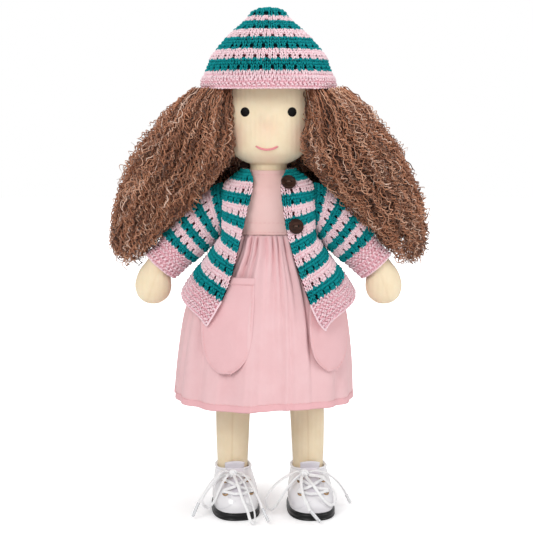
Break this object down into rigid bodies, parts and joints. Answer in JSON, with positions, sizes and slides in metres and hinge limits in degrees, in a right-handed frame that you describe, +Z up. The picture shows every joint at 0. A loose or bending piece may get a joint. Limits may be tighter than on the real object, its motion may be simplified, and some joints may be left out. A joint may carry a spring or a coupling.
{
  "type": "waldorf doll",
  "caption": "Soft stuffed cloth doll with long curly hair, a removable knitted hat, an open striped cardigan, a gathered dress with round pockets, and laced shoes.",
  "frame": {"origin": "centre of the doll's bounding box at the ground, under the soles of its shoes", "axes": "+Z up from the soles to the top of the hat, -Y the way the doll faces, +X towards the doll's own left hand"},
  "size_m": [0.188, 0.0966, 0.305],
  "materials": {
    "skin_jersey": "cream cotton jersey",
    "wool_stuffing": "teased wool",
    "black_enamel": "satin black",
    "lip_thread": "salmon cotton thread",
    "brown_mohair": "curly mohair",
    "teal_yarn": "knitted wool, teal with pale pink stripes",
    "dark_wood": "dark polished wood",
    "pink_cotton": "thin woven cotton",
    "white_patent": "pearly white patent",
    "black_rubber": "matte black",
    "brass": "antique brass",
    "lace_cord": "flat white lace",
    "aglet_plastic": "clear plastic film"
  },
  "bodies": {
    "torso": {"torso_skin": "skin_jersey", "torso_stuffing": "wool_stuffing", "bodice": "pink_cotton", "cardigan_back": "teal_yarn", "cardigan_left_front": "teal_yarn", "cardigan_right_front": "teal_yarn", "upper_button": "dark_wood", "lower_button": "dark_wood"},
    "head": {"head_skin": "skin_jersey", "head_stuffing": "wool_stuffing", "left_eye": "black_enamel", "right_eye": "black_enamel", "mouth_stitch": "lip_thread", "hair_left": "brown_mohair", "hair_right": "brown_mohair", "hair_back": "brown_mohair"},
    "hat": {"knitted_hat": "teal_yarn"},
    "left_arm": {"left_arm_skin": "skin_jersey", "left_arm_stuffing": "wool_stuffing", "left_sleeve": "teal_yarn"},
    "right_arm": {"right_arm_skin": "skin_jersey", "right_arm_stuffing": "wool_stuffing", "right_sleeve": "teal_yarn"},
    "lap": {"skirt": "pink_cotton", "left_pocket": "pink_cotton", "right_pocket": "pink_cotton"},
    "left_leg": {"left_leg_skin": "skin_jersey", "left_leg_stuffing": "wool_stuffing", "left_shoe_sole": "black_rubber", "left_shoe_upper": "white_patent", "left_shoe_tongue": "white_patent", "left_shoe_eyelet_outer_low": "brass", "left_shoe_eyelet_outer_high": "brass", "left_shoe_eyelet_inner_low": "brass", "left_shoe_eyelet_inner_high": "brass", "left_shoe_lacing": "lace_cord", "left_shoe_lace_knot": "lace_cord", "left_shoe_lace_inner_loop": "lace_cord", "left_shoe_lace_side_loop": "lace_cord", "left_shoe_lace_toe_tail": "lace_cord", "left_shoe_lace_outer_tail": "lace_cord", "left_shoe_toe_tail_aglet": "aglet_plastic", "left_shoe_outer_tail_aglet": "aglet_plastic"},
    "right_leg": {"right_leg_skin": "skin_jersey", "right_leg_stuffing": "wool_stuffing", "right_shoe_sole": "black_rubber", "right_shoe_upper": "white_patent", "right_shoe_tongue": "white_patent", "right_shoe_eyelet_outer_low": "brass", "right_shoe_eyelet_outer_high": "brass", "right_shoe_eyelet_inner_low": "brass", "right_shoe_eyelet_inner_high": "brass", "right_shoe_lacing": "lace_cord", "right_shoe_lace_knot": "lace_cord", "right_shoe_lace_side_loop": "lace_cord", "right_shoe_lace_toe_loop": "lace_cord", "right_shoe_lace_front_tail": "lace_cord", "right_shoe_lace_inner_tail": "lace_cord", "right_shoe_front_tail_aglet": "aglet_plastic", "right_shoe_inner_tail_aglet": "aglet_plastic"}
  },
  "joints": [
    {"name": "neck_turn", "type": "hinge", "parent": "torso", "child": "head", "pos_m": [0, 0, 0.207], "axis": [0, 0, 1], "range_deg": [-35, 35], "deforming": ["hair_left", "hair_right", "hair_back"]},
    {"name": "hat_lift", "type": "slide", "parent": "head", "child": "hat", "axis": [0, 0, 1], "range_m": [0, 0.07]},
    {"name": "left_shoulder", "type": "hinge", "parent": "torso", "child": "left_arm", "pos_m": [0.0224, 0, 0.188], "axis": [-1, 0, 0], "range_deg": [-40, 100], "deforming": ["hair_left"]},
    {"name": "right_shoulder", "type": "hinge", "parent": "torso", "child": "right_arm", "pos_m": [-0.0224, 0, 0.188], "axis": [-1, 0, 0], "range_deg": [-40, 100], "deforming": ["hair_right"]},
    {"name": "sit", "type": "hinge", "parent": "torso", "child": "lap", "pos_m": [0, 0, 0.111], "axis": [-1, 0, 0], "range_deg": [0, 90], "deforming": ["skirt", "left_pocket", "right_pocket", "cardigan_left_front", "cardigan_right_front"]},
    {"name": "left_stride", "type": "hinge", "parent": "lap", "child": "left_leg", "pos_m": [0.0185, 0, 0.111], "axis": [-1, 0, 0], "range_deg": [-45, 0], "deforming": ["skirt", "left_pocket"]},
    {"name": "right_stride", "type": "hinge", "parent": "lap", "child": "right_leg", "pos_m": [-0.0185, 0, 0.111], "axis": [-1, 0, 0], "range_deg": [-45, 0], "deforming": ["skirt", "right_pocket"]}
  ]
}
